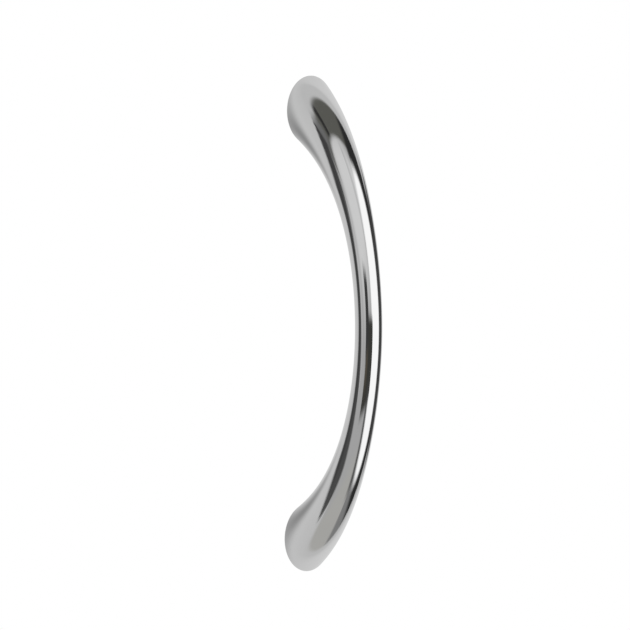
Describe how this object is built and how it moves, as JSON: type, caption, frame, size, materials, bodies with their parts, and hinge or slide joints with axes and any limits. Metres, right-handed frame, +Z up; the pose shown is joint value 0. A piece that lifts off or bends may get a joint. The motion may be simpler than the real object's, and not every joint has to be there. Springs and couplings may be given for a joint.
{
  "type": "cabinet door handle",
  "caption": "Bow-shaped cabinet door handle in polished chrome: a round bar that arches out from the door, swells into flat oval feet and is screwed on from behind.",
  "frame": {"origin": "on the door's face, midway between the two screw holes", "axes": "+Z up along the handle's length, +Y into the door, -Y out towards the hand, +X across the handle"},
  "size_m": [0.017, 0.034, 0.1478],
  "materials": {
    "chrome_plate": "bright polished chrome plate on a zinc alloy casting"
  },
  "bodies": {
    "root": {"bow_handle": "chrome_plate"}
  },
  "joints": []
}
